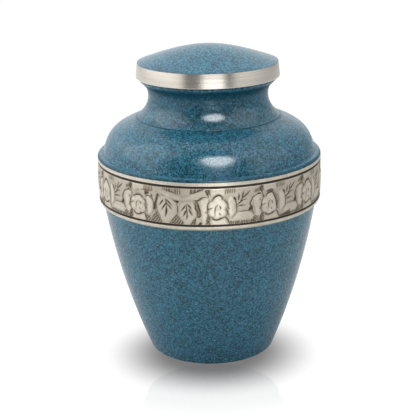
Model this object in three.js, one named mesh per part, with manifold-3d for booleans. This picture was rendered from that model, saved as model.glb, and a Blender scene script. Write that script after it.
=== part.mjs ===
// Turned metal urn with a raised, engraved belt and a domed lift-off lid.
// Millimetres, +Z up, the underside at zero height, the front towards -Y.
import * as THREE from "three";
import { mergeVertices } from "three/addons/utils/BufferGeometryUtils.js";
import Module from "manifold-3d";

const wasm = await Module();
wasm.setup();

// Sides of the turned forms
const outerSides = 44;
const lidSides = 36;
const innerSides = 20;
const leastDetail = 0.02;

// Body below the belt
const footFlatRadius = 49.7;
const footEdge = 1.0;
const wallStartRadius = 50.8;
const wallTopRadius = 84.2;
const wallBulge = 3.6;
const wallThickness = 1.8;
const floorThickness = 2.4;
const floorFillet = 1.6;
const wallTuck = 0.2;

// Raised belt
const beltRadius = 88.0;
const beltBottom = 123.4;
const beltTop = 162.9;
const beltBarrel = 0.6;
const lowerRound = 3.6;
const upperRound = 3.0;
const beltInnerRadius = 84.4;

// Engraved frieze between two turned grooves
const friezeMiddle = 142.85;
const friezeHalf = 14.4;
const grooveHalfWidth = 0.7;
const grooveDepth = 1.2;
const groundDepth = 0.9;
const padRoot = 2.0;

// Shoulder, crease and neck
const shoulderStart = [83.5, 163.1];
const shoulderPull = [79.6, 175.4, 78.3, 181.1];
const shoulderEnd = [61.2, 188.1];
const neckPull = [47.6, 193.6, 46.5, 204.4];
const waist = [46.5, 207.3];
const flarePull = [46.5, 209.8, 46.8, 214.1];
const lipUnder = [50.7, 216.9];
const creaseShare = 0.15;
const creaseHalfWidth = 0.6;
const creaseDepth = 0.5;
const lipRadius = 53.0;
const lipLower = 218.4;
const lipEdge = 0.5;
const mouthHeight = 220.5;
const mouthRadius = 44.4;
const throatHeight = 203;
const throatFlare = [3, 7];

// Lid
const lidTop = 245.2;
const domeSlope = 0.44;
const domeCrown = 38;
const domeEdgeRadius = 52.8;
const rimTopRadius = 54.4;
const rimTopHeight = 232.2;
const rimLowRadius = 55.6;
const rimLowHeight = 223.0;
const rimTuckRadius = 54.0;
const rimTuckHeight = 221.2;
const lidThickness = 2.4;
const flangeThickness = 2.6;
const collarRadius = 43.6;
const collarThickness = 2.2;
const collarBottom = 209.0;

// Repeat of the frieze: flowers with sprigs between them, then a pair of leaves
const repeats = 3;
const flowersInRepeat = 4;
const sprigGap = 26.5;
const leafGap = 40.5;
const firstFlower = 3.7;
const upright = friezeHalf - grooveHalfWidth - 0.3;

// Sizes within the frieze: half width and half height of each raised form
const blossomHalf = [7.5, 9.2];
const blossomLobes = 6;
const lobeNotch = 0.78;
const notchDrop = 0.45;
const petalOut = 11.0;
const petalHalf = [3.2, 9.4];
const fieldHalf = [5.6, 8.6];
const footLeafHalf = [7.0, 3.4];
const leafHalf = 7.2;
const ribbonReach = 18;
const ribbonDip = 8.6;
const ribbonLap = 0.4;

// Edge and crown of each raised form against the belt's face
const blossomLift = [0.0, 0.2];
const petalLift = [-0.25, 0.2];
const fieldLift = [-0.2, 0.0];
const leafLift = [-0.3, 0.1];
const ribbonLift = [-0.3, -0.2];

// Chisel cuts, measured at the belt's face
const cutDepth = 1.0;
const cutAbove = 0.45;
const cutDeepest = 0.4;
const ribWidth = 1.5;
const veinWidth = 1.3;

const point = (r, z) => new THREE.Vector2(r, z);

function arc(start, end, bulge, count) {
  const chord = end.clone().sub(start);
  const half = chord.length() / 2;
  const radius = (half * half + bulge * bulge) / (2 * bulge);
  const out = point(chord.y, -chord.x).normalize();
  const centre = start.clone().add(end).multiplyScalar(0.5).addScaledVector(out, bulge - radius);
  const from = start.clone().sub(centre);
  const to = end.clone().sub(centre);
  const turn = to.angle() - from.angle();
  const list = [];
  for (let i = 0; i <= count; i += 1) {
    list.push(from.clone().rotateAround(point(0, 0), (turn * i) / count).add(centre));
  }
  return list;
}

function quarter(centre, radius, fromDegrees, toDegrees, count) {
  const list = [];
  for (let i = 0; i <= count; i += 1) {
    const angle = THREE.MathUtils.degToRad(fromDegrees + ((toDegrees - fromDegrees) * i) / count);
    list.push(point(centre.x + radius * Math.cos(angle), centre.y + radius * Math.sin(angle)));
  }
  return list;
}

function bend(start, pull, end) {
  const [nearStart, nearEnd] = [point(pull[0], pull[1]), point(pull[2], pull[3])];
  return new THREE.CubicBezierCurve(point(...start), nearStart, nearEnd, point(...end));
}

function toSolid(geometry) {
  geometry.deleteAttribute("normal");
  geometry.deleteAttribute("uv");
  const merged = mergeVertices(geometry, 1e-4);
  const places = merged.attributes.position;
  const index = merged.index.array;
  const corner = [new THREE.Vector3(), new THREE.Vector3(), new THREE.Vector3()];
  const kept = [];
  let volume = 0;
  for (let i = 0; i < index.length; i += 3) {
    const [a, b, c] = [index[i], index[i + 1], index[i + 2]];
    if (a === b || b === c || c === a) continue;
    [a, b, c].forEach((v, n) => corner[n].fromBufferAttribute(places, v));
    volume += corner[0].dot(corner[1].clone().cross(corner[2]));
    kept.push([a, b, c]);
  }
  const triVerts = new Uint32Array(kept.flatMap(([a, b, c]) => (volume > 0 ? [a, b, c] : [a, c, b])));
  const vertProperties = new Float32Array(places.array);
  return new wasm.Manifold(new wasm.Mesh({ numProp: 3, vertProperties, triVerts }));
}

function turned(profile, sides) {
  const geometry = new THREE.LatheGeometry(profile, sides);
  geometry.rotateX(Math.PI / 2);
  return toSolid(geometry);
}

function meshOf(solid, name, material) {
  const { numProp, vertProperties, triVerts } = solid.getMesh();
  const count = vertProperties.length / numProp;
  const places = new Float32Array(count * 3);
  for (let i = 0; i < count; i += 1) {
    for (let n = 0; n < 3; n += 1) places[i * 3 + n] = vertProperties[i * numProp + n];
  }
  const geometry = new THREE.BufferGeometry();
  geometry.setAttribute("position", new THREE.BufferAttribute(places, 3));
  geometry.setIndex(Array.from(triVerts));
  const mesh = new THREE.Mesh(geometry, material);
  mesh.name = name;
  return mesh;
}

// Radius of the belt's slightly barrelled face at a height
function beltFace(z) {
  const middle = (beltBottom + beltTop) / 2;
  const half = (beltTop - beltBottom) / 2;
  return beltRadius - beltBarrel * ((z - middle) / half) ** 2;
}

function groove(z) {
  const edge = beltFace(z);
  return [
    point(edge, z - grooveHalfWidth),
    point(edge - grooveDepth, z),
    point(edge, z + grooveHalfWidth),
  ];
}

function bodyOutline() {
  const wallEnd = point(wallTopRadius, beltBottom - wallTuck);
  const lowFace = beltFace(beltBottom + lowerRound);
  const highFace = beltFace(beltTop - upperRound);
  const lowGroove = groove(friezeMiddle - friezeHalf);
  const highGroove = groove(friezeMiddle + friezeHalf);
  lowGroove[2].x -= groundDepth;
  highGroove[0].x -= groundDepth;
  const neck = bend(shoulderEnd, neckPull, waist);
  const crease = neck.getPoint(creaseShare);
  const creaseDirection = neck.getTangent(creaseShare);
  const inward = point(-creaseDirection.y, creaseDirection.x);
  if (inward.x > 0) inward.negate();
  return [
    point(0, 0),
    point(footFlatRadius, 0),
    ...arc(point(wallStartRadius, footEdge), wallEnd, wallBulge, 4),
    ...quarter(point(lowFace - lowerRound, beltBottom + lowerRound), lowerRound, -90, 0, 2),
    ...lowGroove,
    ...highGroove,
    ...quarter(point(highFace - upperRound, beltTop - upperRound), upperRound, 0, 90, 2),
    ...bend(shoulderStart, shoulderPull, shoulderEnd).getPoints(5),
    crease.clone().addScaledVector(creaseDirection, -creaseHalfWidth),
    crease.clone().addScaledVector(inward, creaseDepth),
    crease.clone().addScaledVector(creaseDirection, creaseHalfWidth),
    ...[0.42, 0.7].map((share) => neck.getPoint(share)),
    ...bend(waist, flarePull, lipUnder).getPoints(2),
    point(lipRadius, lipLower),
    point(lipRadius, mouthHeight - lipEdge),
    point(lipRadius - lipEdge, mouthHeight),
    point(0, mouthHeight),
  ];
}

function bodyCavity() {
  const offset = wallThickness;
  const wallEnd = point(wallTopRadius - offset, beltBottom - offset);
  const shoulder = bend(shoulderStart, shoulderPull, shoulderEnd);
  const over = mouthHeight + 5;
  const inside = [0.4, 0.75, 1].map((share) => {
    const place = shoulder.getPoint(share);
    const along = shoulder.getTangent(share);
    return place.add(point(-along.y, along.x).multiplyScalar(offset));
  });
  return [
    point(0, floorThickness),
    point(wallStartRadius - offset - floorFillet, floorThickness),
    ...arc(point(wallStartRadius - offset, floorThickness + floorFillet), wallEnd, wallBulge, 4),
    point(beltInnerRadius, beltBottom + lowerRound),
    point(beltInnerRadius, beltTop - upperRound),
    ...inside,
    point(mouthRadius + throatFlare[0], throatHeight - throatFlare[1]),
    point(mouthRadius, throatHeight),
    point(mouthRadius, over),
    point(0, over),
  ];
}

// Places on the belt: u runs to the right along the face, v up from the frieze's middle
function onBelt(degrees, u, v, lift) {
  const angle = THREE.MathUtils.degToRad(degrees) + u / beltRadius;
  const z = friezeMiddle + v;
  const radius = beltFace(z) + lift;
  return new THREE.Vector3(radius * Math.sin(angle), -radius * Math.cos(angle), z);
}

// A closed body from rings of places, each ring of the same count, with both ends fanned to a middle
function ringed(rings, first, last) {
  const count = rings[0].length;
  const places = [first, ...rings.flat(), last];
  const index = [];
  for (let i = 0; i < count; i += 1) {
    const next = (i + 1) % count;
    index.push(0, 1 + next, 1 + i);
    for (let n = 0; n + 1 < rings.length; n += 1) {
      const [a, b] = [1 + n * count + i, 1 + n * count + next];
      index.push(a, b, b + count, a, b + count, a + count);
    }
    const base = 1 + (rings.length - 1) * count;
    index.push(base + i, base + next, places.length - 1);
  }
  const geometry = new THREE.BufferGeometry().setFromPoints(places);
  geometry.setIndex(index);
  return toSolid(geometry);
}

// A raised pad with a soft crown on the sunk ground; a point's third number lowers the edge there
function pad(degrees, outline, [edgeLift, crownLift]) {
  const u = outline.reduce((sum, p) => sum + p[0], 0) / outline.length;
  const v = outline.reduce((sum, p) => sum + p[1], 0) / outline.length;
  const root = outline.map((p) => onBelt(degrees, p[0], p[1], -padRoot));
  const edge = outline.map((p) => onBelt(degrees, p[0], p[1], edgeLift - (p[2] ?? 0)));
  return ringed([root, edge], onBelt(degrees, u, v, -padRoot), onBelt(degrees, u, v, crownLift));
}

// A chisel cut, deepest near its start, running out to a point at both ends
function chisel(degrees, from, to, width) {
  const along = point(to[0] - from[0], to[1] - from[1]);
  const side = point(-along.y, along.x).normalize().multiplyScalar(width / 2);
  const widen = (cutDepth + cutAbove) / cutDepth;
  const at = (share, out, lift) => {
    const run = cutDeepest + (share - cutDeepest) * widen;
    const u = from[0] + along.x * run + side.x * out * widen;
    const v = from[1] + along.y * run + side.y * out * widen;
    return onBelt(degrees, u, v, lift);
  };
  const corners = [[0, 0], [cutDeepest, -1], [1, 0], [cutDeepest, 1]];
  const mouth = corners.map(([share, out]) => at(share, out, cutAbove));
  return ringed([mouth], at(cutDeepest, 0, cutAbove), at(cutDeepest, 0, -cutDepth));
}

function oval(u, v, [halfWidth, halfHeight], squareness, count, start = 0) {
  const list = [];
  for (let i = 0; i < count; i += 1) {
    const angle = ((i + start) / count) * 2 * Math.PI;
    const [c, s] = [Math.cos(angle), Math.sin(angle)];
    const reach = (Math.abs(c) ** squareness + Math.abs(s) ** squareness) ** (-1 / squareness);
    list.push([u + halfWidth * reach * c, v + halfHeight * reach * s]);
  }
  return list;
}

// An open flower: rounded lobes with a lower notch between each two
function lobed(u, v) {
  const list = [];
  for (let i = 0; i < blossomLobes; i += 1) {
    for (const [share, reach, drop] of [[-0.5, lobeNotch, notchDrop], [-0.22, 1, 0], [0.22, 1, 0]]) {
      const angle = ((i + share) / blossomLobes + 0.25) * 2 * Math.PI;
      const [c, s] = [reach * Math.cos(angle), reach * Math.sin(angle)];
      list.push([u + blossomHalf[0] * c, v + blossomHalf[1] * s, drop]);
    }
  }
  return list;
}

// A lobed blossom between two tall petals
function flower(degrees) {
  const pads = [pad(degrees, lobed(-0.2, -0.9), blossomLift)];
  for (const side of [-1, 1]) {
    pads.push(pad(degrees, oval(petalOut * side, -0.4, petalHalf, 2.4, 8, 0.5), petalLift));
  }
  return { pads, cuts: [] };
}

// A fan of chisel cuts on a plain field, over a rounded leaf that fills the foot of the gap
function sprig(degrees) {
  const pads = [
    pad(degrees, oval(0, 4.6, fieldHalf, 3.2, 6), fieldLift),
    pad(degrees, oval(0.2, -8.2, footLeafHalf, 2.4, 6), petalLift),
  ];
  const cuts = [
    chisel(degrees, [-3.4, 3.6], [-2.6, 10.4], ribWidth),
    chisel(degrees, [-4.2, 0.4], [3.4, 10.6], ribWidth),
    chisel(degrees, [-2.2, 1.4], [4.2, 4.8], ribWidth),
    chisel(degrees, [-4.0, -1.8], [3.8, -0.6], ribWidth),
  ];
  return { pads, cuts };
}

// A broad upright leaf, pointed at the foot, with a midrib and two pairs of veins
function leaf(degrees, u, top, size) {
  const shape = [
    [0, 1.0],
    [-0.75, 0.82],
    [-1, 0.3],
    [-0.82, -0.35],
    [-0.22, -1],
    [0.22, -1],
    [0.82, -0.35],
    [1, 0.3],
    [0.75, 0.82],
  ];
  const halfHeight = (top + upright) / 2;
  const middle = (top - upright) / 2;
  const outline = shape.map(([x, y]) => [u + x * leafHalf * size, middle + y * halfHeight]);
  const pads = [pad(degrees, outline, leafLift)];
  const cuts = [chisel(degrees, [u, top - 1.6], [u - 0.3, -9.4], ribWidth)];
  for (const drop of [0, 4.2]) {
    const knot = top - 2.6 - drop;
    for (const side of [-1, 1]) {
      const tip = [u + 4.9 * side * size, knot - 4.8];
      cuts.push(chisel(degrees, [u + 1.1 * side, knot], tip, veinWidth));
    }
  }
  return { pads, cuts };
}

// A plain ribbon that dips like a swag above the pair of leaves, in two halves that run into each other
function swag(degrees) {
  const pads = [-1, 1].map((side) => {
    const half = [
      [ribbonReach, upright - 1.0],
      [ribbonReach * 0.45, upright - 1.6],
      [-ribbonLap, ribbonDip + 0.6],
      [-ribbonLap, ribbonDip - 2.6],
      [ribbonReach * 0.62, ribbonDip + 0.6],
    ];
    return pad(degrees, half.map(([u, v]) => [u * side, v]), ribbonLift);
  });
  return { pads, cuts: [] };
}

function friezeCarving() {
  const pads = [];
  const cuts = [];
  const put = (motif) => {
    pads.push(...motif.pads);
    cuts.push(...motif.cuts);
  };
  for (let r = 0; r < repeats; r += 1) {
    const start = firstFlower + (360 / repeats) * r;
    for (let n = 0; n < flowersInRepeat; n += 1) {
      put(flower(start + sprigGap * n));
      if (n + 1 < flowersInRepeat) put(sprig(start + sprigGap * (n + 0.5)));
    }
    const gapMiddle = start - leafGap / 2;
    put(leaf(gapMiddle, -7.0, 7.0, 1.0));
    put(leaf(gapMiddle, 8.4, 4.6, 0.88));
    put(swag(gapMiddle));
  }
  return { pads, cuts };
}

function body() {
  let solid = turned(bodyOutline(), outerSides);
  const { pads, cuts } = friezeCarving();
  for (const piece of pads) solid = solid.add(piece);
  for (const piece of cuts) solid = solid.subtract(piece);
  return solid.subtract(turned(bodyCavity(), innerSides)).simplify(leastDetail);
}

// Height of the lid's outside at a radius: a rounded crown that runs out to an even slope
function domeHeight(r) {
  return lidTop - domeSlope * (Math.hypot(r, domeCrown) - domeCrown);
}

function lid() {
  const dome = [0, 15, 33, domeEdgeRadius].map((r) => point(r, domeHeight(r)));
  const flangeTop = mouthHeight + flangeThickness;
  const innerRim = rimTopRadius - lidThickness;
  const collarInner = collarRadius - collarThickness;
  const under = [34, 0].map((r) => point(r, domeHeight(r) - lidThickness));
  return turned([
    ...dome,
    point(rimTopRadius - 0.3, rimTopHeight + 0.7),
    point(rimTopRadius, rimTopHeight),
    point(rimLowRadius, rimLowHeight),
    point(rimTuckRadius, rimTuckHeight),
    point(rimTuckRadius - 0.8, mouthHeight),
    point(collarRadius, mouthHeight),
    point(collarRadius, collarBottom),
    point(collarInner, collarBottom),
    point(collarInner, flangeTop),
    point(innerRim, flangeTop),
    point(innerRim - 0.6, rimTopHeight - 1.2),
    ...under,
  ], lidSides);
}

const enamel = (name) => {
  const material = new THREE.MeshStandardMaterial({ color: 0x3f7894, roughness: 0.3, metalness: 0.1 });
  material.name = name;
  return material;
};

const urn = new THREE.Group();
urn.name = "urn";
urn.add(meshOf(body(), "urn_body", enamel("speckled_enamel")));
urn.add(meshOf(lid(), "urn_lid", enamel("speckled_enamel_lid")));
export default urn;
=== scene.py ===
import math

import bmesh
import bpy
import numpy as np
from mathutils import Matrix, Vector


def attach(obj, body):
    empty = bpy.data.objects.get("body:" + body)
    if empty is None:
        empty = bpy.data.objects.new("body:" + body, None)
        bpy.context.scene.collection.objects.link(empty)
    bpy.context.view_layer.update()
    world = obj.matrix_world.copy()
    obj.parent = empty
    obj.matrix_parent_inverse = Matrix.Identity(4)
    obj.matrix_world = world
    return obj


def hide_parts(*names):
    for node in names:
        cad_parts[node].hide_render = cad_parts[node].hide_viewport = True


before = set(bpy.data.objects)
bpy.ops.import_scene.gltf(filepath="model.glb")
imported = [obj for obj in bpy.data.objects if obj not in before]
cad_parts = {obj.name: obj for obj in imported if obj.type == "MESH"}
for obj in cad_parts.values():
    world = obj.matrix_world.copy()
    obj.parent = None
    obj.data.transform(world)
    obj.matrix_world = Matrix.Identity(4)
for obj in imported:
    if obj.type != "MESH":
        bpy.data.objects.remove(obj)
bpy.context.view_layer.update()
mm = 0.001
print("frame loaded:", ", ".join(sorted(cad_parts)))


def place(name, data):
    thing = bpy.data.objects.new(name, data)
    bpy.context.scene.collection.objects.link(thing)
    return thing


def meshFrom(name, bm):
    mesh = bpy.data.meshes.new(name)
    bm.to_mesh(mesh)
    bm.free()
    return mesh


# camera

cameraSpec = {
    "place": (0.0, -0.83176, 0.38423),
    "pitchDown": 18.035, "yaw": -0.112, "roll": -0.993,
    "lens": 94.27, "sensor": 36.0,
    "clipStart": 0.02, "clipEnd": 50.0,
}


def makeCamera(spec):
    pitch, yaw, roll = (math.radians(spec[k]) for k in ("pitchDown", "yaw", "roll"))
    ahead = Vector((math.sin(yaw) * math.cos(pitch), math.cos(yaw) * math.cos(pitch), -math.sin(pitch)))
    side = Vector((math.cos(yaw), -math.sin(yaw), 0.0))
    over = side.cross(ahead)
    right = side * math.cos(roll) + over * math.sin(roll)
    up = over * math.cos(roll) - side * math.sin(roll)
    data = bpy.data.cameras.new("urnCamera")
    data.lens = spec["lens"]
    data.sensor_width = spec["sensor"]
    data.clip_start = spec["clipStart"]
    data.clip_end = spec["clipEnd"]
    camera = place("urnCamera", data)
    turn = Matrix((right, up, -ahead)).transposed().to_4x4()
    camera.matrix_world = Matrix.Translation(spec["place"]) @ turn
    bpy.context.scene.camera = camera


makeCamera(cameraSpec)
bpy.context.scene.view_settings.view_transform = "Standard"
print("camera set")


# shader maths

class Wire:
    def __init__(self, bench, socket):
        self.bench, self.socket = bench, socket

    def calc(self, operation, *others):
        node = self.bench.add("ShaderNodeMath", {"operation": operation}, dict(enumerate((self, *others))))
        return Wire(self.bench, node.outputs[0])

    def __add__(self, other): return self.calc("ADD", other)
    def __radd__(self, other): return self.calc("ADD", other)
    def __sub__(self, other): return self.calc("SUBTRACT", other)
    def __rsub__(self, other): return (self * -1.0).calc("ADD", other)
    def __mul__(self, other): return self.calc("MULTIPLY", other)
    def __rmul__(self, other): return self.calc("MULTIPLY", other)
    def __truediv__(self, other): return self.calc("DIVIDE", other)

    def clamp(self):
        node = self.bench.add("ShaderNodeClamp", {}, {0: self})
        return Wire(self.bench, node.outputs[0])

    def across(self, other):  # length of the slant between two sides at right angles
        return (self * self + other * other).calc("SQRT")

    def between(self, low, high):  # smooth 0 to 1 from low to high
        settings = {"interpolation_type": "SMOOTHSTEP"}
        node = self.bench.add("ShaderNodeMapRange", settings, {0: self, 1: low, 2: high, 3: 0.0, 4: 1.0})
        return Wire(self.bench, node.outputs[0])


class Bench:
    def __init__(self, owner):
        owner.use_nodes = True
        self.owner = owner
        self.nodes, self.links = owner.node_tree.nodes, owner.node_tree.links
        self.nodes.clear()

    def add(self, kind, settings, sockets):
        node = self.nodes.new(kind)
        for key, value in settings.items():
            if key == "stops":
                self.setStops(node.color_ramp, value)
            else:
                setattr(node, key, value)
        for key, value in sockets.items():
            if isinstance(value, Wire):
                self.links.new(value.socket, node.inputs[key])
            else:
                node.inputs[key].default_value = value
        return node

    def setStops(self, ramp, stops):
        while len(ramp.elements) < len(stops):
            ramp.elements.new(1.0)
        for element, (at, colour) in zip(ramp.elements, stops):
            element.position = at
            element.color = colour

    def out(self, kind, name, settings=None, sockets=None):
        return Wire(self, self.add(kind, settings or {}, sockets or {}).outputs[name])

    def coords(self):
        return self.out("ShaderNodeTexCoord", "Object")

    def stretched(self, scale):
        return self.out("ShaderNodeMapping", 0, {}, {"Vector": self.coords(), "Scale": scale})

    def noise(self, vector, scale, detail=2.0, rough=0.5):
        sockets = {"Vector": vector, "Scale": scale, "Detail": detail, "Roughness": rough}
        return self.out("ShaderNodeTexNoise", 0, {}, sockets)

    def mix(self, amount, first, second):
        sockets = {0: amount, 6: first, 7: second}
        return self.out("ShaderNodeMix", 2, {"data_type": "RGBA"}, sockets)

    def ramp(self, value, stops):
        return self.out("ShaderNodeValToRGB", 0, {"stops": stops}, {0: value})

    def vector(self, operation, first, sockets):
        return self.out("ShaderNodeVectorMath", 0, {"operation": operation}, {0: first, **sockets})

    def cells(self, vector, size):  # one random colour for each cell
        return self.out("ShaderNodeTexVoronoi", "Color", {}, {"Vector": vector, "Scale": 1.0 / size})

    def channel(self, colour, which):
        return self.out("ShaderNodeSeparateColor", which, {}, {0: colour})

    def axes(self, vector):
        node = self.add("ShaderNodeSeparateXYZ", {}, {0: vector})
        return [Wire(self, output) for output in node.outputs]

    def ink(self):  # the piece's own dark marks: cuts and tarnish on the pewter, painted shade on the enamel
        return self.out("ShaderNodeAttribute", "Fac", {"attribute_name": "ink"})

    def bump(self, height, strength, distance=0.0001):
        sockets = {"Height": height, "Strength": strength, "Distance": distance}
        return self.out("ShaderNodeBump", 0, {}, sockets)

    def shader(self, sockets):
        return self.out("ShaderNodeBsdfPrincipled", 0, {}, sockets)

    def blend(self, amount, first, second):
        return self.out("ShaderNodeMixShader", 0, {}, {0: amount, 1: first, 2: second})

    def close(self, surface):
        self.add("ShaderNodeOutputMaterial", {}, {"Surface": surface})
        return self.owner

    def finish(self, sockets):
        return self.close(self.shader(sockets))


def solid(colour):
    return (*colour, 1.0)


def grey(tone):
    return (tone, tone, tone, 1.0)


# finishes

enamelSpec = {
    "grain": 0.00092, "fleck": 0.00075,  # metres across one grain and one fleck of the speckle
    "wander": 0.7,             # how far the edge of a grain strays, in grains
    "deep": (0.006, 0.044, 0.070),
    "teal": (0.028, 0.176, 0.272),
    "blue": (0.056, 0.284, 0.410),
    "pale": (0.126, 0.370, 0.500),
    "plum": (0.050, 0.085, 0.125),
    "sea": (0.020, 0.205, 0.240),
    "indigo": (0.052, 0.145, 0.300),
    "tones": [("deep", 0.0), ("deep", 0.20), ("teal", 0.38), ("teal", 0.76), ("blue", 0.95), ("pale", 1.0)],
    "seaShare": 0.60, "indigoShare": 0.55, "plumShare": 0.25,
    "driftScale": 55.0, "driftShare": 0.16,
    "peelScale": 420.0, "pitScale": 1500.0, "pitShare": 0.25, "peel": 0.08, "peelDepth": 0.0002,
    "roughness": 0.50,
    "specular": 0.05,
    "coat": 0.85, "coatLoss": 1.2,  # the coat is dulled where shade is painted into the enamel
    "coatRoughness": 0.195,
}


def speckledEnamel(spec):
    bench = Bench(bpy.data.materials.new("speckledEnamel"))
    where = bench.coords()
    sockets = {"Vector": where, "Scale": 0.8 / spec["grain"], "Detail": 1.0}
    stray = bench.out("ShaderNodeTexNoise", "Color", {}, sockets)
    stray = bench.vector("SUBTRACT", stray, {1: (0.5, 0.5, 0.5)})
    stray = bench.vector("SCALE", stray, {"Scale": spec["wander"] * spec["grain"]})
    moved = bench.vector("ADD", where, {1: stray})
    grains, flecks = bench.cells(moved, spec["grain"]), bench.cells(moved, spec["fleck"])
    chance, tint = bench.channel(grains, 0), bench.channel(grains, 1)
    fleckChance, plumChance = bench.channel(flecks, 1), bench.channel(flecks, 2)
    deep, sea, indigo, plum = (solid(spec[name]) for name in ("deep", "sea", "indigo", "plum"))
    colour = bench.ramp(chance, [(at, solid(spec[name])) for name, at in spec["tones"]])
    lit = chance.between(0.24, 0.42)
    colour = bench.mix(tint.between(0.62, 0.72) * lit * spec["seaShare"], colour, sea)
    colour = bench.mix((1.0 - tint.between(0.24, 0.34)) * lit * spec["indigoShare"], colour, indigo)
    colour = bench.mix(fleckChance.between(0.78, 0.85), colour, deep)
    colour = bench.mix(plumChance.between(0.84, 0.90) * spec["plumShare"], colour, plum)
    drift = bench.noise(where, spec["driftScale"], 3.0)
    colour = bench.mix(drift.between(0.35, 0.75) * spec["driftShare"], colour, deep)
    # painted shade from the ink attribute: the enamel goes towards deep and its coat dulls
    paintedShade = bench.ink()
    colour = bench.mix(paintedShade, colour, deep)
    peel = bench.noise(where, spec["peelScale"])
    peel = peel + bench.noise(where, spec["pitScale"], 1.0) * spec["pitShare"]
    return bench.finish({
        "Base Color": colour,
        "Roughness": spec["roughness"],
        "Specular IOR Level": spec["specular"],
        "Coat Weight": (1.0 - paintedShade * spec["coatLoss"]).clamp() * spec["coat"],
        "Coat Roughness": spec["coatRoughness"],
        "Normal": bench.bump(peel, spec["peel"], spec["peelDepth"]),
    })


pewterSpec = {
    "bright": (0.745, 0.692, 0.594),
    "dull": (0.52, 0.475, 0.395),
    "tarnish": (0.150, 0.115, 0.075),
    "cut": (0.016, 0.012, 0.008),
    "hazeScale": 160.0, "fineScale": 1100.0, "brush": (60.0, 60.0, 4200.0),
    "hazeWear": 0.45, "fineWear": 0.55,
    "tarnishFull": 0.65,       # ink at which the metal is all tarnish
    "dulled": 0.75,            # metal lost in the darkest cuts
    "roughness": 0.40,
    "bump": 0.16,
}


def agedPewter(spec):
    bench = Bench(bpy.data.materials.new("agedPewter"))
    where, ink = bench.coords(), bench.ink()
    haze = bench.noise(where, spec["hazeScale"], 4.0, 0.6)
    brushed = bench.noise(bench.stretched(spec["brush"]), 1.0)
    fine = bench.noise(where, spec["fineScale"], 3.0, 0.6)
    worn = haze.between(0.35, 0.75) * spec["hazeWear"] + fine.between(0.38, 0.66) * spec["fineWear"]
    colour = bench.mix(worn, solid(spec["bright"]), solid(spec["dull"]))
    colour = bench.mix((ink / spec["tarnishFull"]).clamp(), colour, solid(spec["tarnish"]))
    colour = bench.mix(ink.between(0.55, 1.0), colour, solid(spec["cut"]))
    rough = haze * 0.12 + brushed * 0.10 + ink * 0.25 + (spec["roughness"] - 0.11)
    return bench.finish({
        "Base Color": colour,
        "Metallic": 1.0 - ink.between(0.2, 1.0) * spec["dulled"],
        "Roughness": rough,
        "Normal": bench.bump(brushed + haze * 0.4 + fine * 0.5, spec["bump"]),
    })


nickelSpec = {
    "bright": (0.87, 0.82, 0.745),
    "dull": (0.67, 0.62, 0.54),
    "lines": (25.0, 25.0, 5200.0), "broad": (12.0, 12.0, 900.0),
    "lineShare": 0.45, "broadShare": 0.35,
    "roughness": 0.22,
    "bump": 0.22,
}


def brushedNickel(spec):
    bench = Bench(bpy.data.materials.new("brushedNickel"))
    lines = bench.noise(bench.stretched(spec["lines"]), 1.0, 3.0, 0.6)
    broad = bench.noise(bench.stretched(spec["broad"]), 1.0)
    tone = lines.between(0.3, 0.7) * spec["lineShare"] + broad.between(0.3, 0.7) * spec["broadShare"]
    return bench.finish({
        "Base Color": bench.mix(tone, solid(spec["bright"]), solid(spec["dull"])),
        "Metallic": 1.0,
        "Roughness": lines * 0.16 + (spec["roughness"] - 0.08),
        "Normal": bench.bump(lines + broad * 0.5, spec["bump"]),
    })


bareSpec = {
    "tone": (0.62, 0.47, 0.25), "dark": (0.36, 0.27, 0.15), "darkShare": 0.7,
    "rings": (20.0, 20.0, 2600.0), "hazeScale": 45.0,
    "roughness": 0.42,
    "bump": 0.2,
}


def bareBrass(spec):
    bench = Bench(bpy.data.materials.new("bareBrass"))
    rings = bench.noise(bench.stretched(spec["rings"]), 1.0, 3.0)
    haze = bench.noise(bench.coords(), spec["hazeScale"], 4.0)
    aged = haze.between(0.3, 0.8) * spec["darkShare"]
    return bench.finish({
        "Base Color": bench.mix(aged, solid(spec["tone"]), solid(spec["dark"])),
        "Metallic": 1.0,
        "Roughness": haze * 0.2 + (spec["roughness"] - 0.1),
        "Normal": bench.bump(rings, spec["bump"]),
    })


enamel = speckledEnamel(enamelSpec)
pewter = agedPewter(pewterSpec)
nickel = brushedNickel(nickelSpec)
brass = bareBrass(bareSpec)
print("finishes made")


# turned profiles, in millimetres as (radius, height)

def arcPoints(start, end, bulge, count):
    chord = Vector(end) - Vector(start)
    half = chord.length / 2
    radius = (half * half + bulge * bulge) / (2 * bulge)
    out = Vector((chord.y, -chord.x)).normalized()
    centre = (Vector(start) + Vector(end)) / 2 + out * (bulge - radius)
    first, last = Vector(start) - centre, Vector(end) - centre
    begin = math.atan2(first.y, first.x)
    turn = math.atan2(last.y, last.x) - begin
    angles = [begin + turn * i / count for i in range(count + 1)]
    return [(centre.x + radius * math.cos(a), centre.y + radius * math.sin(a)) for a in angles]


def roundPoints(centre, radius, begin, end, count):
    angles = [math.radians(begin + (end - begin) * i / count) for i in range(count + 1)]
    return [(centre[0] + radius * math.cos(a), centre[1] + radius * math.sin(a)) for a in angles]


def bendPoints(start, pull, end, shares):
    near, far = Vector(pull[:2]), Vector(pull[2:])
    points = []
    for t in shares:
        s = 1 - t
        p = Vector(start) * s ** 3 + near * (3 * s * s * t) + far * (3 * s * t * t) + Vector(end) * t ** 3
        points.append((p.x, p.y))
    return points


def evenly(count, begin=0.0, end=1.0):
    return [begin + (end - begin) * i / count for i in range(count + 1)]


def inset(points, depth):  # the same line moved to its left by a wall's thickness
    moved = []
    for i, p in enumerate(points):
        before, after = Vector(points[max(i - 1, 0)]), Vector(points[min(i + 1, len(points) - 1)])
        along = (after - before).normalized()
        moved.append((p[0] - along.y * depth, p[1] + along.x * depth))
    return moved


def alongSlant(place):  # a number of its own for each place: sorting by it keeps the mesh the same each run
    return place.x + place.y * 0.618 + place.z * 0.382


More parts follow.
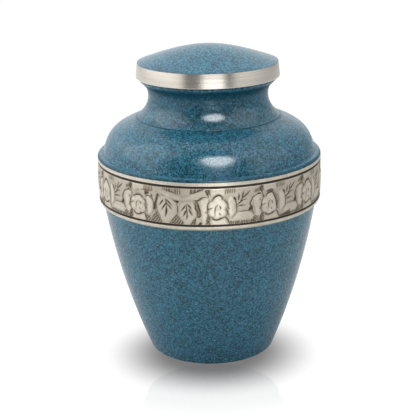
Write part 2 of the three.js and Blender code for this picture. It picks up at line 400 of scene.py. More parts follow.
def spinPiece(name, profile, steps, materials, closed=True):
    bm = bmesh.new()
    line = [bm.verts.new((r * mm, 0.0, z * mm)) for r, z in profile]
    pairs = list(zip(line, line[1:]))
    if closed:
        pairs.append((line[-1], line[0]))
    edges = [bm.edges.new(pair) for pair in pairs]
    eighth = math.pi / 4
    bmesh.ops.spin(bm, geom=line + edges, cent=(0, 0, 0), axis=(0, 0, 1), angle=eighth, steps=steps // 8)
    for turn in (1, 2, 4):  # an eighth, doubled three times, is quicker than one long spin
        copied = bmesh.ops.duplicate(bm, geom=bm.verts[:] + bm.edges[:] + bm.faces[:])["geom"]
        moved = [part for part in copied if isinstance(part, bmesh.types.BMVert)]
        bmesh.ops.rotate(bm, verts=moved, cent=(0, 0, 0), matrix=Matrix.Rotation(turn * eighth, 3, "Z"))
    bmesh.ops.remove_doubles(bm, verts=bm.verts, dist=1e-7)
    bmesh.ops.recalc_face_normals(bm, faces=bm.faces)
    bm.verts.sort(key=lambda vert: alongSlant(vert.co))
    bm.faces.sort(key=lambda face: alongSlant(face.calc_center_median()))
    mesh = meshFrom(name, bm)
    for material in materials:
        mesh.materials.append(material)
    mesh.polygons.foreach_set("use_smooth", [True] * len(mesh.polygons))
    mesh.set_sharp_from_angle(angle=math.radians(38))
    return place(name, mesh)


def vertexPlaces(piece):
    co = np.empty(len(piece.data.vertices) * 3)
    piece.data.vertices.foreach_get("co", co)
    return co.reshape(-1, 3)


def turnedPlaces(piece):  # radius and height of every vertex, in millimetres
    co = vertexPlaces(piece) / mm
    return np.hypot(co[:, 0], co[:, 1]), co[:, 2]


def setInk(piece, ink):
    layer = piece.data.attributes.new("ink", "FLOAT", "POINT")
    layer.data.foreach_set("value", ink.astype(np.float32))


def settle(piece, node):
    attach(piece, "root")
    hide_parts(node)


# vessel

beltSpec = {
    "radius": 88.0, "bottom": 123.4, "top": 162.9, "barrel": 0.6,
    "lowerRound": 3.6, "upperRound": 3.0, "upperFlat": (158.6, 159.2),
    "lowGroove": 128.1, "highGroove": 156.9, "lowHalf": 0.84, "highHalf": 1.0, "grooveDepth": 0.85,
    "grooveBank": [(1.16, 0.0), (1.0, 0.05), (0.72, 0.62), (0.35, 0.96), (-0.2, 1.05)],  # side and depth
    "grooveInk": 0.08, "grooveSoft": 0.25,
    "backRadius": 85.6, "backStep": 1.0, "backLow": 123.5, "backHigh": 160.6,
    "paintAngle": 9.6,         # where the enamel starts on the upper round
    "steps": 360,
}


def beltFace(z):
    middle = (beltSpec["bottom"] + beltSpec["top"]) / 2
    half = (beltSpec["top"] - beltSpec["bottom"]) / 2
    return beltSpec["radius"] - beltSpec["barrel"] * ((z - middle) / half) ** 2


def roundCentre(z, size):  # of a round that meets the belt's face at z
    return beltFace(z) - size, z


upperCentre = roundCentre(beltSpec["top"] - beltSpec["upperRound"], beltSpec["upperRound"])
lowerCentre = roundCentre(beltSpec["bottom"] + beltSpec["lowerRound"], beltSpec["lowerRound"])

vesselSpec = {
    "base": 40.0, "footFlat": 49.6, "footEdge": 1.1,
    "wallStart": (50.8, 1.1), "wallEnd": (84.2, 123.2), "wallBulge": 3.6,
    "behindBelt": [(85.0, 124.6), (85.3, 128.0), (85.3, 158.4)],
    "shoulder": ((83.5, 163.1), (79.6, 175.4, 78.3, 181.1), (61.2, 188.1)),
    "neck": ((61.2, 188.1), (47.6, 193.6, 46.5, 204.4), (46.5, 207.3)),
    "flare": ((46.5, 207.3), (46.5, 209.8, 46.8, 214.1), (50.7, 216.9)),
    "crease": 0.150, "creaseDepth": 0.32, "creaseLean": (0.56, 0.83), "creaseRest": 0.008,
    "creaseCut": [  # along the neck and share of the depth
        (-0.018, 0.0), (-0.013, 0.12), (-0.006, 0.7), (0.0, 1.0), (0.003, 0.35), (0.006, 0.05), (0.011, 0.0),
    ],
    # painted shade along the crease: its span along the neck, how far it reaches below, and how dark
    "creaseDark": (-0.009, 0.004), "creaseBelow": 0.4, "creaseShade": 0.30,
    "lip": 53.0, "lipRound": 0.9, "lipBevel": 0.2,
    "mouth": 220.5, "mouthRadius": 44.4, "mouthBevel": 0.6,
    "throat": [(44.4, 207.0), (44.7, 203.0), (46.0, 199.5), (50.6, 194.2), (55.2, 189.6)],
    "innerBelt": [(84.4, 160.0), (84.4, 126.5)],
    "innerFoot": 48.6, "innerFlat": 47.0, "innerRise": 1.6,
    "wall": 1.8, "floor": 2.4, "paint": 0.07, "paintTuck": 0.05,
    # painted shade by height: under the lid below the lip, and over the belt's corner, where the darkened
    # enamel hides the highlight
    "underLidShade": ((197.0, 205.0, 209.0, 213.0, 217.0, 218.4), (0.0, 0.11, 0.22, 0.52, 0.85, 0.0)),
    "beltEdgeShade": ((160.2, 160.8, 162.0, 162.8), (0.0, 0.55, 0.55, 0.0)),
    "steps": 288,
}


def neckPoints(spec):  # with a narrow turned line around the foot of the neck
    shares = [spec["crease"] + away for away, deep in spec["creaseCut"]]
    dips = [spec["creaseDepth"] * deep for away, deep in spec["creaseCut"]]
    leanIn, leanDown = spec["creaseLean"]
    plain = bendPoints(*spec["neck"], shares)
    cut = [(r - dip * leanIn, z - dip * leanDown) for (r, z), dip in zip(plain, dips)]
    below = bendPoints(*spec["neck"], evenly(8, 0.0, shares[0] - spec["creaseRest"]))
    return below + cut + bendPoints(*spec["neck"], evenly(26, shares[-1] + spec["creaseRest"], 1.0))


def vesselProfile(spec):
    base = [(0.0, 0.0), (spec["base"], 0.0)]
    foot = roundPoints((spec["footFlat"], spec["footEdge"]), spec["footEdge"], -90, -8, 5)
    wall = arcPoints(spec["wallStart"], spec["wallEnd"], spec["wallBulge"], 40)
    radius = beltSpec["upperRound"] + spec["paint"]
    top = roundPoints(upperCentre, radius, beltSpec["paintAngle"], 90, 9)
    top.insert(0, (top[0][0] - spec["paint"] * 2, top[0][1] - spec["paintTuck"]))
    shoulder = bendPoints(*spec["shoulder"], evenly(26))
    neck = neckPoints(spec)
    flare = bendPoints(*spec["flare"], evenly(12))
    lip, size, bevel = spec["lip"], spec["lipRound"], spec["lipBevel"]
    mouth, throat, edge = spec["mouth"], spec["mouthRadius"], spec["mouthBevel"]
    rolled = roundPoints((lip - size, mouth - size), size, -60, 0, 6)
    rolled += [(lip, mouth - bevel), (lip - bevel, mouth)]
    outer = base + foot + wall[1:] + spec["behindBelt"] + top + shoulder + neck[1:] + flare[1:] + rolled
    inner = [(throat + edge, mouth), (throat, mouth - edge)] + spec["throat"]
    inner += inset(shoulder, spec["wall"])[::-3] + spec["innerBelt"]
    inner += [(r - spec["wall"], z) for r, z in wall[-2:1:-3]]
    inner += [(spec["innerFoot"], spec["floor"] + spec["innerRise"])]
    inner += [(spec["innerFlat"], spec["floor"]), (0.0, spec["floor"])]
    return outer, inner


def makeVessel(spec):
    outer, inner = vesselProfile(spec)
    piece = spinPiece("enamelVessel", outer + inner, spec["steps"], [enamel, brass], closed=False)
    radius, height = turnedPlaces(piece)
    # painted shade along the crease: a dark line just below the turned line, with a dulled coat
    dark = bendPoints(*spec["neck"], [spec["crease"] + away for away in spec["creaseDark"]])
    lowest, highest = dark[0][1] - spec["creaseBelow"], dark[1][1]
    paintedShade = (height > lowest) & (height < highest) & (radius > spec["lip"])
    # painted shade under the lid, darkest just below the lip
    lidShade = np.interp(height, *spec["underLidShade"]) * (radius > spec["mouthRadius"] + 1)
    # painted shade over the belt's rounded corner, which also dulls the coat so no highlight shows there
    corner = np.interp(height, *spec["beltEdgeShade"]) * (radius > beltSpec["backRadius"] - 1)
    setInk(piece, np.where(paintedShade, spec["creaseShade"], np.maximum(lidShade, corner)))
    line = np.array(outer)
    middles = np.array([face.center for face in piece.data.polygons]) / mm
    reach = np.interp(middles[:, 2], line[:, 1], line[:, 0]) - spec["wall"] / 2
    bare = (np.hypot(middles[:, 0], middles[:, 1]) < reach) & (middles[:, 2] > spec["floor"] / 2)
    piece.data.polygons.foreach_set("material_index", bare.astype(np.int32))
    settle(piece, "urn_body")
    return piece


vessel = makeVessel(vesselSpec)
print("vessel turned:", len(vessel.data.polygons), "faces")


# plain mouldings that frame the frieze

def grooveLine(which, side):  # one bank of the low or high groove, from the face down into its bed
    z, half, depth = beltSpec[which + "Groove"], beltSpec[which + "Half"], beltSpec["grooveDepth"]
    return [(beltFace(z) - depth * deep, z + side * half * away) for away, deep in beltSpec["grooveBank"]]


def grooveInk(z):  # dark inside both grooves
    inside = [beltSpec[which + "Half"] - np.abs(z - beltSpec[which + "Groove"]) for which in ("low", "high")]
    return np.clip((np.maximum(*inside) + beltSpec["grooveInk"]) / beltSpec["grooveSoft"], 0, 1)


def makeMoulding(spec):
    back, step = spec["backRadius"], spec["backStep"]
    lower = roundPoints(lowerCentre, spec["lowerRound"], -88, 0, 12)
    upper = [(beltFace(z), z) for z in spec["upperFlat"]]
    upper += roundPoints(upperCentre, spec["upperRound"], 0, 22, 5)
    profile = [(back - step, spec["backLow"])] + lower + grooveLine("low", -1)
    profile += [(back, spec["lowGroove"] + step), (back, spec["highGroove"] - step)]
    profile += grooveLine("high", 1)[::-1] + upper + [(back - step, spec["backHigh"])]
    piece = spinPiece("beltMoulding", profile, spec["steps"], [pewter])
    settle(piece, "urn_body")
    setInk(piece, grooveInk(turnedPlaces(piece)[1]))


makeMoulding(beltSpec)
print("mouldings turned")


# engraved frieze: relief and patina are drawn on the unrolled band, then pressed into a turned ring

friezeSpec = {
    "middle": 142.25, "repeats": 3, "flowers": 4,
    "sprigGap": 26.5, "leafGap": 40.5, "firstFlower": 3.7,  # degrees round the belt
    "ground": -0.22,           # plain ground against the belt's face, mm
    "columns": 4200, "rows": 220, "half": 14.2,
    "steps": 1416, "bands": 56,
    "edgeFree": 0.55, "edgeSoft": 0.5, "backGap": 0.1,
    "bold": 1.12, "finest": 0.08,  # width of every cut, and the least half width in mm
    "swell": 0.3, "thin": 0.45,  # shares of a cut's length at its two ends
    "veinBold": 1.15, "veinDepth": 0.32,
    "tickDepth": 0.2, "tickTaper": (0.6, 0.6),
    "hatchDepth": 0.2, "hatchWave": 0.22, "hatchWeights": (1.0, 0.55),  # the second set of lines is lighter
    "shake": 0.16,             # unevenness of the hand work, mm
    "patina": 0.19,            # soft tarnish left on the plain ground
    "plainFrom": 0.25, "plainLoss": 0.95,
    "hollow": (7, 1.3), "basin": (16, 1.6), "grime": 0.22,  # reach, weight and most of the grime in dips
    "bleed": (5, 0.26),        # dark that spreads beside a cut
    "seed": 11,
}


def curveSpan(a, b, c, d, count):  # from b to c, led by its neighbours
    t = np.linspace(0, 1, count, endpoint=False)[:, None]
    bend = (2 * a - 5 * b + 4 * c - d) * t ** 2 + (3 * b - a - 3 * c + d) * t ** 3
    return 0.5 * (2 * b + (c - a) * t + bend)


def curveThrough(points, count):  # even curve through the given points
    p = np.array(points, float)
    if len(p) < 3:
        return p
    p = np.vstack([2 * p[0] - p[1], p, 2 * p[-1] - p[-2]])
    return np.vstack([curveSpan(*p[i:i + 4], count) for i in range(len(p) - 3)] + [p[-2][None]])


def loopThrough(points, count=5):
    p = np.array(points, float)
    n = len(p)
    return np.vstack([curveSpan(p[i - 1], p[i], p[(i + 1) % n], p[(i + 2) % n], count) for i in range(n)])


def fromSegment(a, b, u, v):  # share of the way along a segment, and distance from it
    d = b - a
    t = np.clip(((u - a[0]) * d[0] + (v - a[1]) * d[1]) / max(d @ d, 1e-9), 0, 1)
    return t, np.hypot(u - a[0] - d[0] * t, v - a[1] - d[1] * t)


class Band:
    def __init__(self, spec):
        self.spec = spec
        self.chance = np.random.default_rng(spec["seed"])
        self.step = 2 * math.pi * beltSpec["radius"] / spec["columns"]
        self.v = np.linspace(-spec["half"], spec["half"], spec["rows"])
        shape = (spec["rows"], spec["columns"])
        self.raised = np.zeros(shape)
        self.depth = np.zeros(shape)
        self.ink = np.zeros(shape)

    def window(self, points, margin):
        low, high = points.min(0) - margin, points.max(0) + margin
        columns = np.arange(math.floor(low[0] / self.step), math.ceil(high[0] / self.step) + 1)
        rows = np.where((self.v >= low[1]) & (self.v <= high[1]))[0]
        u, v = np.meshgrid(columns * self.step, self.v[rows])
        return np.ix_(rows, columns % self.spec["columns"]), u, v

    def shaken(self, points, origin):
        p = np.array(points, float)
        return p + self.chance.normal(0, self.spec["shake"], p.shape) + np.array([origin, 0.0])

    def carve(self, where, depth, ink):
        self.depth[where] = np.maximum(self.depth[where], depth)
        self.ink[where] = np.maximum(self.ink[where], ink)

    def cut(self, origin, points, width, ink, depth=0.24, taper=(0.35, 0.25)):
        p = curveThrough(self.shaken(points, origin), 6)
        where, u, v = self.window(p, width + 0.5)
        if u.size == 0:
            return
        size = self.spec["bold"] * width * self.chance.uniform(0.9, 1.12) / 2
        run = np.concatenate([[0], np.cumsum(np.hypot(*np.diff(p, axis=0).T))])
        best = np.zeros_like(u)
        for i in range(len(p) - 1):
            t, away = fromSegment(p[i], p[i + 1], u, v)
            share = (run[i] + (run[i + 1] - run[i]) * t) / max(run[-1], 1e-9)
            thin = np.minimum(1, taper[0] + (1 - taper[0]) * share / self.spec["swell"])
            thin = np.minimum(thin, taper[1] + (1 - taper[1]) * (1 - share) / self.spec["thin"])
            best = np.maximum(best, 1.15 - away / np.maximum(size * thin, self.spec["finest"]))
        best = np.clip(best, 0, 1)
        best = best * best * (3 - 2 * best)
        self.carve(where, depth * best, ink * best)

    def cuts(self, origin, strokes):
        for points, width, ink in strokes:
            self.cut(origin, points, width, ink)

    def inside(self, loop, u, v):  # signed distance, positive inside
        gap = np.full(u.shape, 1e9)
        hit = np.zeros(u.shape, bool)
        for a, b in zip(loop, np.roll(loop, -1, 0)):
            gap = np.minimum(gap, fromSegment(a, b, u, v)[1])
            if b[1] != a[1]:
                cross = a[0] + (v - a[1]) / (b[1] - a[1]) * (b[0] - a[0])
                hit ^= ((a[1] > v) != (b[1] > v)) & (u < cross)
        return np.where(hit, gap, -gap)

    def lift(self, origin, points, height, soft):
        loop = loopThrough(self.shaken(points, origin))
        where, u, v = self.window(loop, 1.0)
        t = np.clip(self.inside(loop, u, v) / soft, 0, 1)
        self.raised[where] = np.maximum(self.raised[where], height * np.sqrt(1 - (1 - t) ** 2))

    def shade(self, origin, points, ink, depth=0.15, soft=0.6):
        loop = loopThrough(self.shaken(points, origin), 3)
        where, u, v = self.window(loop, soft)
        t = np.clip(self.inside(loop, u, v) / soft + 0.3, 0, 1)
        self.carve(where, depth * t, ink * t)

    def hatch(self, origin, points, angles, pitch, width, ink, ground):
        loop = np.array(points, float) + np.array([origin, 0.0])
        where, u, v = self.window(loop, 0.4)
        t = np.clip(self.inside(loop, u, v) / 0.35 + 0.4, 0, 1)
        best = np.zeros_like(u)
        for angle, weight in zip(angles, self.spec["hatchWeights"]):
            c, s = math.cos(math.radians(angle)), math.sin(math.radians(angle))
            wave = self.spec["hatchWave"] * np.sin(0.9 * u * c + 1.3 * v + origin)
            across = ((v * c - u * s + wave) / pitch) % 1.0
            line = np.clip(1.2 - np.abs(across - 0.5) * 2 * pitch / width, 0, 1)
            best = np.maximum(best, weight * line)
        self.carve(where, self.spec["hatchDepth"] * best * t, (ground + (ink - ground) * best) * t)

    def ticks(self, origin, places, foot, top, lean, width, ink):
        depth, taper = self.spec["tickDepth"], self.spec["tickTaper"]
        for u in places:
            low = foot(u) if callable(foot) else foot
            self.cut(origin, [(u, low), (u + lean, top)], width, ink, depth, taper)


blossomSpec = {
    "lobes": [  # centre and radius of each petal
        (0.4, 4.5, 3.9), (3.1, 1.5, 3.7), (2.9, -4.2, 3.5),
        (-0.9, -6.3, 2.9), (-3.9, -3.7, 3.4), (-3.8, 1.0, 3.6),
    ],
    "lobeShrink": 0.4, "margin": 5.5,
    "heart": 5.2, "heartLow": 0.8, "heartTall": (3.4, 3.0),
    "edge": 2.0, "edgeHeight": 0.15, "lobeHeight": 0.13,
    "line": 0.42, "lineOff": 0.2, "lineInk": 0.10, "lineDepth": 0.05,
    "fan": (-0.95, 0.96, 0.46), "strokeFrom": 0.1, "strokeTo": (0.9, 1.7),
    "stroke": (0.46, 0.36, 0.06, (0.9, 0.4)),  # width, ink, depth and taper
    "shake": 0.12, "fanShake": 0.06,
}

flowerForms = [  # each hand-cut flower of a group differs a little in height and in its right half
    {"rise": 1.0, "right": 1.0},
    {"rise": 0.84, "right": 0.80},
    {"rise": 0.92, "right": 0.95},
    {"rise": 0.62, "right": 1.0},
]

blossomCuts = [
    ([(-3.7, 5.8), (-2.4, 7.9), (0.4, 9.0), (2.6, 8.2), (4.1, 5.4)], 1.25, 0.95),
    ([(-4.5, -8.6), (-2.6, -9.5), (0.2, -9.5), (3.0, -8.3), (5.6, -7.4)], 0.95, 0.80),
    ([(-6.3, 3.6), (-7.5, 1.5), (-7.8, -1.2), (-7.3, -4.0)], 0.65, 0.60),
    ([(4.4, 5.2), (6.6, 2.9), (7.2, 0.9)], 0.75, 0.60),
    ([(6.2, -2.0), (6.9, -3.4), (7.1, -5.0)], 0.75, 0.60),
    ([(7.4, -0.6), (9.0, -1.6)], 0.60, 0.50),
    ([(7.2, -5.4), (8.6, -6.0)], 0.60, 0.50),
    ([(-6.8, -1.3), (-5.4, -0.9), (-3.6, -0.1)], 0.75, 0.66),
    ([(0.2, 2.2), (-1.8, -0.4), (-2.0, -3.6), (-2.6, -7.0)], 0.75, 0.62),
    ([(0.9, 1.2), (2.1, -0.5), (1.5, -1.7)], 0.80, 0.76),
    ([(0.9, -3.8), (1.4, -5.2), (2.3, -6.2)], 0.80, 0.72),
]

besideCuts = [
    ([(-9.1, 12.8), (-7.8, 10.2), (-6.5, 7.6)], 1.20, 0.88),
    ([(-7.0, 12.8), (-5.6, 10.0), (-5.2, 8.6)], 0.70, 0.60),
    ([(-15.0, 5.0), (-12.6, 6.7), (-9.8, 7.5), (-6.5, 7.1)], 0.70, 0.66),
    ([(11.4, 7.4), (12.6, 5.0)], 1.15, 0.88),
    ([(11.7, 7.2), (12.9, 4.4), (13.6, 1.0), (13.9, -3.4), (12.8, -6.0), (10.9, -7.6)], 0.60, 0.60),
    ([(5.4, -7.6), (7.1, -10.0), (7.7, -12.8)], 0.95, 0.72),
]

flowerPads = [  # outline, height and softness of what stands up around a blossom
    ([(-5.4, 9.2), (-4.9, 13.6), (4.9, 13.6), (5.3, 9.4), (3.6, 8.8), (0.4, 10.2), (-3.4, 9.0)], 0.16, 1.4),
    ([(-13.6, 3.4), (-12.4, 6.2), (-9.4, 7.2), (-7.2, 5.8), (-7.9, 0.5),
      (-8.0, -4.5), (-7.8, -8.5), (-9.6, -12.6), (-11.6, -11.0), (-12.6, -5.0)], 0.24, 1.8),
    ([(12.0, 6.6), (9.4, 7.4), (7.6, 5.6), (8.2, 1.0), (8.4, -4.0),
      (8.8, -7.4), (11.0, -7.4), (13.2, -4.2), (13.4, 1.0)], 0.24, 1.8),
    ([(-4.8, -10.4), (-4.6, -13.2), (6.6, -13.2), (6.3, -10.4), (4.8, -8.4), (1.0, -9.6)], 0.16, 1.4),
]


def shaped(x, y, form):
    return x * form["right"] if x > 0 else x, y * form["rise"] if y > 0 else y


def drawBlossom(band, origin, form, spec):
    shrink = 1 - spec["lobeShrink"] * (1 - form["rise"])
    lobes = [(*shaped(x, y, form), r * shrink if y > 0 else r) for x, y, r in spec["lobes"]]
    centres = np.array([lobe[:2] for lobe in lobes])
    where, u, v = band.window(centres + np.array([origin, 0.0]), spec["margin"])
    gap = np.full(u.shape, -9.0)
    full = np.zeros(u.shape)
    for x, y, r in lobes:
        x, y = x + origin + band.chance.normal(0, spec["shake"]), y + band.chance.normal(0, spec["shake"])
        away = np.hypot(u - x, v - y)
        gap = np.maximum(gap, r - away)
        full = np.maximum(full, np.sqrt(np.clip(1 - (away / r) ** 2, 0, 1)))
    tall = spec["heartTall"][0] + spec["heartTall"][1] * form["rise"]
    heart = np.hypot((u - origin) / spec["heart"], (v + spec["heartLow"]) / tall)
    gap = np.maximum(gap, (1 - heart) * spec["heart"])
    edge = np.sqrt(1 - (1 - np.clip(gap / spec["edge"], 0, 1)) ** 2)
    raised = edge * spec["edgeHeight"] + full * spec["lobeHeight"]
    band.raised[where] = np.maximum(band.raised[where], raised)
    line = np.clip(1.1 - np.abs(gap + spec["lineOff"]) / spec["line"], 0, 1)
    band.carve(where, spec["lineDepth"] * line, spec["lineInk"] * line)
    for x, y, r in lobes:  # short strokes that stand off the petals
        out = math.atan2(y + spec["heartLow"], x)
        for turn in np.arange(*spec["fan"]):
            a = out + turn + band.chance.normal(0, spec["fanShake"])
            reaches = (r + spec["strokeFrom"], r + band.chance.uniform(*spec["strokeTo"]))
            stroke = [(x + reach * math.cos(a), y + reach * math.sin(a)) for reach in reaches]
            band.cut(origin, stroke, *spec["stroke"])
    for points, width, ink in blossomCuts:
        band.cut(origin, [shaped(x, y, form) for x, y in points], width, ink)


def drawFlower(band, origin, form):
    drawBlossom(band, origin, form, blossomSpec)
    for pad in flowerPads:
        band.lift(origin, *pad)
    band.cuts(origin, besideCuts)
    band.ticks(origin, (5.7, 7.0, 8.3, 9.6, 10.9, 12.5), 10.0, 13.9, 0.0, 0.62, 0.50)
    band.shade(origin, [(-9.0, 13.2), (-5.4, 13.2), (-6.4, 9.4), (-7.6, 9.6)], 0.18)
    corner = [(-8.4, -7.2), (-5.9, -6.4), (-5.5, -13.4), (-9.4, -13.4)]
    band.hatch(origin, corner, (40, -40), 1.7, 0.62, 0.80, 0.10)
    band.ticks(origin, (-8.4, -8.2), -4.2, -3.4, -0.9, 0.6, 0.5)
    if form["right"] < 0.9:  # a notched stem runs down the right side of this one
        band.shade(origin, [(-3.4, 7.6), (0.2, 7.9), (2.6, 7.4), (2.2, 9.6), (-2.8, 9.4)], 0.40, 0.15, 1.2)
        band.cut(origin, [(1.6, 6.8), (3.6, 3.6), (5.0, -0.6), (6.2, -6.2)], 0.95, 0.84)
        for y in np.arange(-5.0, 5.6, 1.5):
            x = 5.2 - 0.028 * (y + 4.0) ** 2
            band.cut(origin, [(x - 0.4, y), (x + 1.6, y + 1.0)], 0.70, 0.66)


sprigPad = [
    (-8.2, -7.4), (-5.6, -4.8), (-1.6, -4.2), (3.0, -4.4),
    (6.2, -7.2), (5.4, -10.6), (-1.0, -10.8), (-7.6, -10.6),
]

sprigCuts = [
    ([(-6.7, 1.1), (-3.8, 3.1), (-1.4, 4.3), (1.2, 4.7)], 1.00, 0.78),
    ([(-2.3, 5.8), (0.4, 7.8), (3.9, 10.7)], 1.05, 0.80),
    ([(-2.5, 5.6), (-1.9, 8.2), (-0.9, 11.2)], 1.05, 0.82),
    ([(-5.1, 4.7), (-4.8, 6.8), (-4.6, 9.2)], 1.10, 0.84),
    ([(-3.7, 3.2), (-2.3, 6.0)], 0.75, 0.66),
    ([(-6.1, -0.4), (-3.0, 0.2), (0.4, 0.3)], 0.90, 0.74),
    ([(-8.7, 7.0), (-7.6, 5.4), (-6.9, 3.4)], 1.10, 0.84),
    ([(-5.6, -4.6), (-2.0, -4.0), (2.2, -4.1), (4.6, -4.9), (6.7, -7.2)], 0.62, 0.52),
    ([(6.2, 7.0), (4.8, 3.2), (3.8, 0.9), (5.0, -1.4), (5.4, -4.2), (6.8, -7.2)], 0.95, 0.74),
    ([(9.4, 7.6), (11.0, 8.1), (12.7, 7.2)], 1.05, 0.82),
    ([(13.1, 13.8), (12.8, 11.0)], 1.00, 0.66),
    ([(14.2, 7.0), (14.7, 4.5)], 1.00, 0.70),
    ([(11.6, 4.4), (11.4, 2.2)], 0.90, 0.55),
    ([(11.5, -1.6), (11.6, -4.2)], 0.90, 0.55),
]


def drawSprig(band, origin, wedge):
    band.lift(origin, sprigPad, 0.15, 2.2)
    band.cuts(origin, sprigCuts)
    band.shade(origin, [(4.6, -0.4), (2.0, -3.6), (3.6, -4.4), (5.5, -3.8)], 0.55, 0.2)
    band.shade(origin, [(7.0, 9.2), (8.6, 11.8), (12.8, 12.2), (13.2, 9.4), (10.2, 8.8)], 0.26, 0.15, 1.4)
    band.ticks(origin, np.arange(-11.8, 6.2, 1.38), -13.3, -11.2, 0.35, 0.85, 0.82)
    corner = [(5.6, -9.6), (8.6, -8.2), (12.4, -9.4), (13.6, -13.4), (5.4, -13.4)]
    band.hatch(origin, corner, (35, -48), 1.7, 0.62, 0.80, 0.10)
    if wedge:
        band.hatch(origin, [(-13.6, -13.3), (-1.5, -9.0), (-1.2, -13.3)], (20, -60), 1.6, 0.70, 0.85, 0.12)


leafPads = [
    ([(-7.2, 7.4), (-12.6, 5.4), (-14.2, 0.0), (-13.2, -6.0), (-9.4, -12.8),
      (-6.0, -12.8), (-2.4, -8.4), (0.8, -4.0), (0.6, 1.0), (-2.8, 5.2)], 0.15, 2.4),
    ([(8.6, 4.4), (4.4, 2.8), (2.2, -1.6), (3.6, -7.0), (6.4, -12.8),
      (9.6, -12.8), (12.8, -8.6), (14.3, -3.6), (14.0, 1.0), (12.4, 3.2)], 0.15, 2.4),
    ([(-17.5, 12.6), (-8.0, 10.8), (2.0, 7.8), (6.4, 6.6), (10.4, 8.4),
      (17.5, 11.4), (11.5, 6.6), (5.4, 5.2), (-1.0, 6.2), (-9.5, 8.6)], 0.18, 1.6),
]

leafVeins = [
    ([(-7.3, 6.0), (-7.0, 2.6), (-7.0, -0.6)], 0.80, 0.80),
    ([(-7.0, -0.4), (-7.1, -3.4), (-7.9, -8.6)], 1.45, 0.92),
    ([(-9.3, 4.4), (-10.8, 2.2), (-12.4, 0.2)], 1.05, 0.82),
    ([(-6.9, 5.2), (-4.8, 2.9), (-2.8, 0.8)], 1.05, 0.82),
    ([(-7.3, 2.4), (-9.0, -0.4), (-10.8, -3.2)], 1.10, 0.84),
    ([(-6.5, 2.0), (-4.6, -0.4), (-2.6, -2.8)], 0.95, 0.76),
    ([(8.8, 2.7), (8.5, 0.4), (8.4, -2.4), (8.5, -5.4), (8.2, -8.8)], 0.80, 0.78),
    ([(8.5, -6.0), (8.2, -9.0)], 1.10, 0.80),
    ([(7.5, 1.7), (6.0, -0.6), (4.6, -2.8)], 1.05, 0.82),
    ([(9.2, 2.4), (10.7, 0.6), (12.4, -1.6)], 1.05, 0.82),
    ([(8.2, -2.7), (7.2, -4.2), (5.8, -6.8)], 1.25, 0.88),
    ([(9.6, -1.1), (11.0, -3.3), (12.6, -6.4)], 1.20, 0.86),
]

leafCuts = [
    ([(-9.6, 12.6), (-4.0, 11.0), (2.8, 9.1)], 0.70, 0.55),
    ([(10.4, 10.0), (14.8, 10.9), (18.0, 12.0), (21.2, 13.7)], 0.80, 0.70),
    ([(-14.5, 3.0), (-14.8, -3.0), (-13.0, -8.0), (-10.0, -13.0)], 0.55, 0.40),
    ([(1.6, 0.4), (1.5, -3.4), (2.2, -6.0)], 0.60, 0.45),
    ([(13.2, 4.2), (14.4, 1.6), (15.0, -1.4), (15.9, -4.0), (15.4, -7.0)], 0.90, 0.80),
    ([(16.0, 4.6), (16.9, 2.0), (17.6, -1.4), (18.6, -3.6), (18.9, -6.4)], 1.00, 0.86),
    ([(14.4, 3.4), (16.2, 3.0)], 0.55, 0.46),
    ([(14.7, 1.4), (16.6, 0.8)], 0.55, 0.46),
    ([(15.1, -0.8), (17.2, -1.4)], 0.55, 0.46),
    ([(15.5, -2.8), (17.8, -3.4)], 0.55, 0.46),
    ([(15.8, -4.8), (18.4, -5.2)], 0.55, 0.46),
    ([(15.4, -7.7), (17.4, -7.3), (19.1, -5.8)], 0.90, 0.78),
    ([(13.0, 5.0), (15.6, 5.2), (18.0, 5.8), (20.4, 7.2)], 0.80, 0.70),
    ([(14.6, -7.6), (14.2, -12.6)], 0.90, 0.75),
    ([(-28.2, 10.2), (-24.0, 10.3), (-18.2, 9.9)], 1.00, 0.62),
    ([(-24.3, 4.8), (-22.5, 6.1), (-20.5, 5.6), (-17.6, 2.8)], 1.00, 0.76),
    ([(5.0, -10.6), (6.2, -13.4)], 0.80, 0.70),
]


def fallingFoot(u):  # where the ticks over the left leaf start
    return 12.4 - (u + 9.0) * 0.285


def climbingFoot(u):  # and those over the right one
    return 10.1 + max(u - 12.0, 0.0) * 0.30


